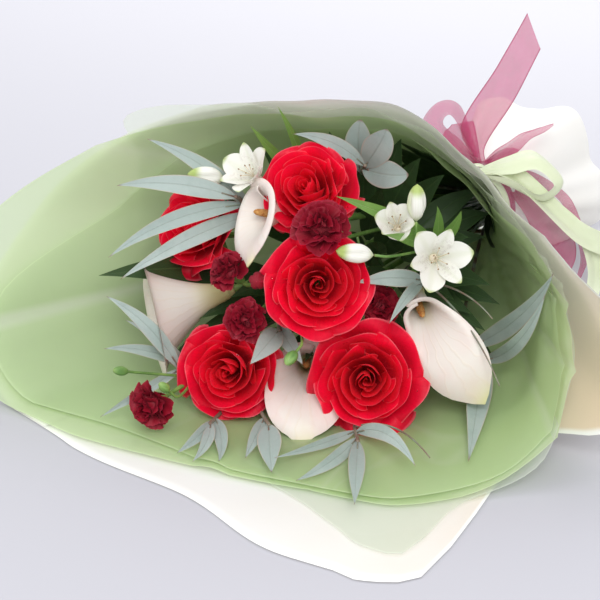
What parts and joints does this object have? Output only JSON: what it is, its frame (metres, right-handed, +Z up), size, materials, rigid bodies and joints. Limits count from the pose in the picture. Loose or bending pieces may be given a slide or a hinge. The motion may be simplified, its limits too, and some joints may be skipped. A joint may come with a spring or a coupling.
{
  "type": "mixed flower bouquet",
  "caption": "Bouquet lying on its side: red roses, cream callas, white alstroemeria, carnations and eucalyptus in green film and cream paper, tied with ribbons.",
  "frame": {"origin": "on the table under the middle of the flowers, on the flat underside of the paper", "axes": "+Z up from the table, -Y the way the flowers look out of the wrap, +Y back along the stems, +X to the right as the flowers are seen"},
  "size_m": [0.5907, 0.7229, 0.2608],
  "materials": {
    "paper": "matt cream wrapping paper",
    "film": "frosted translucent green film",
    "rose_petal": "soft red petal",
    "carnation_petal": "velvety burgundy petal",
    "calla_spathe": "waxy cream petal with a pink blush",
    "spadix": "fine-grained orange",
    "alstroemeria_petal": "soft white petal with green tips",
    "eucalyptus": "glaucous leaf with pale edges",
    "leaf": "satin green leaf",
    "stem": "satin green stem",
    "cord": "wound natural cord",
    "organza": "sheer crimson organza",
    "satin": "pale green satin"
  },
  "bodies": {
    "root": {"alstroemeria_left_bloom": "alstroemeria_petal", "alstroemeria_left_bud": "alstroemeria_petal", "alstroemeria_left_stem": "leaf", "alstroemeria_right_bloom": "alstroemeria_petal", "alstroemeria_right_bloom_behind": "alstroemeria_petal", "alstroemeria_right_bud_middle": "alstroemeria_petal", "alstroemeria_right_bud_upper": "alstroemeria_petal", "alstroemeria_right_stem": "leaf", "calla_left_spadix": "spadix", "calla_left_spathe": "calla_spathe", "calla_left_stem": "stem", "calla_low_spadix": "spadix", "calla_low_spathe": "calla_spathe", "calla_low_stem": "stem", "calla_right_spadix": "spadix", "calla_right_spathe": "calla_spathe", "calla_right_stem": "stem", "calla_upper_spadix": "spadix", "calla_upper_spathe": "calla_spathe", "calla_upper_stem": "stem", "carnation_bud": "carnation_petal", "carnation_far_left": "carnation_petal", "carnation_left": "carnation_petal", "carnation_low": "carnation_petal", "carnation_middle": "carnation_petal", "carnation_right": "carnation_petal", "carnation_spray_left_stem": "stem", "carnation_spray_low_left_stem": "stem", "carnation_spray_middle_stem": "stem", "eucalyptus_bottom": "eucalyptus", "eucalyptus_centre": "eucalyptus", "eucalyptus_left": "eucalyptus", "eucalyptus_lower_left": "eucalyptus", "eucalyptus_lower_right": "eucalyptus", "eucalyptus_middle_right": "eucalyptus", "eucalyptus_right": "eucalyptus", "eucalyptus_top": "eucalyptus", "eucalyptus_upper_left": "eucalyptus", "film_inner": "film", "film_middle": "film", "film_outer": "film", "paper_wrap": "paper", "ribbon_organza": "organza", "ribbon_satin": "satin", "rose_left_bloom": "rose_petal", "rose_left_stem": "stem", "rose_low_left_bloom": "rose_petal", "rose_low_left_stem": "stem", "rose_low_right_bloom": "rose_petal", "rose_low_right_stem": "stem", "rose_middle_bloom": "rose_petal", "rose_middle_stem": "stem", "rose_top_bloom": "rose_petal", "rose_top_stem": "stem", "stem_tie": "cord"}
  },
  "joints": []
}
